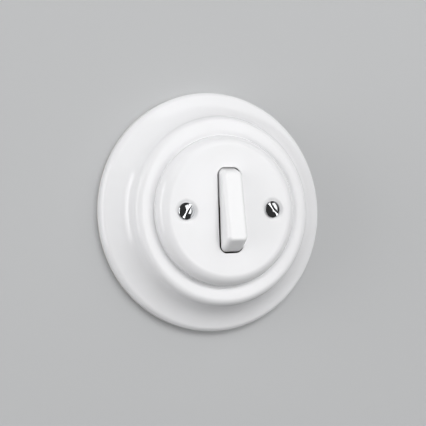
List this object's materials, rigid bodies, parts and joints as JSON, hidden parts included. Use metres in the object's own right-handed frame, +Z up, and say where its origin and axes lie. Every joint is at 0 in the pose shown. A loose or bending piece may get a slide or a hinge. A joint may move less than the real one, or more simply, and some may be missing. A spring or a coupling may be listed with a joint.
{
  "type": "rocker light switch",
  "caption": "Round white porcelain light switch: a stepped frame, a rounded cover disc with slotted screws, and a rocker that tilts over a flush-mounted switch insert.",
  "frame": {"origin": "middle of the frame ring on the wall plane", "axes": "+Z up, +Y into the wall, so the front faces -Y; +X to the right as seen from the front"},
  "size_m": [0.1, 0.0485, 0.1],
  "materials": {
    "white_porcelain": "gloss",
    "chromed_screws": "polished",
    "white_rocker": "gloss",
    "steatite": "matte",
    "zinc_plated_steel": "satin",
    "bright_steel": "polished",
    "brass": "satin",
    "contact_silver": "satin"
  },
  "bodies": {
    "insert": {"frame_ring": "white_porcelain", "cover_disc": "white_porcelain", "cover_screws": "chromed_screws", "switch_base": "steatite", "support_plate": "zinc_plated_steel", "pivot_bracket": "zinc_plated_steel", "base_screws": "zinc_plated_steel", "terminal_screws": "zinc_plated_steel", "bracket_rivets": "zinc_plated_steel", "pivot_pin": "bright_steel", "pin_clip": "bright_steel", "cover_pillars": "brass", "common_contact": "brass", "upper_contact_strip": "brass", "lower_contact_strip": "brass", "common_terminal": "brass", "upper_terminal": "brass", "lower_terminal": "brass", "fixed_contact_tips": "contact_silver"},
    "rocker": {"rocker": "white_rocker", "rocker_spring": "bright_steel", "plunger": "brass"},
    "seesaw": {"contact_seesaw": "brass", "moving_contact_tips": "contact_silver"}
  },
  "joints": [
    {"name": "rocker_tilt", "type": "hinge", "parent": "insert", "child": "rocker", "pos_m": [0, -0.0127, 0], "axis": [1, 0, 0], "range_deg": [0, 15]},
    {"name": "contact_tilt", "type": "hinge", "parent": "insert", "child": "seesaw", "pos_m": [0, 0.006, 0], "axis": [1, 0, 0], "range_deg": [-15, 0]}
  ],
  "couplings": [
    {"joint": "contact_tilt", "follows": "rocker_tilt", "ratio": -1}
  ]
}
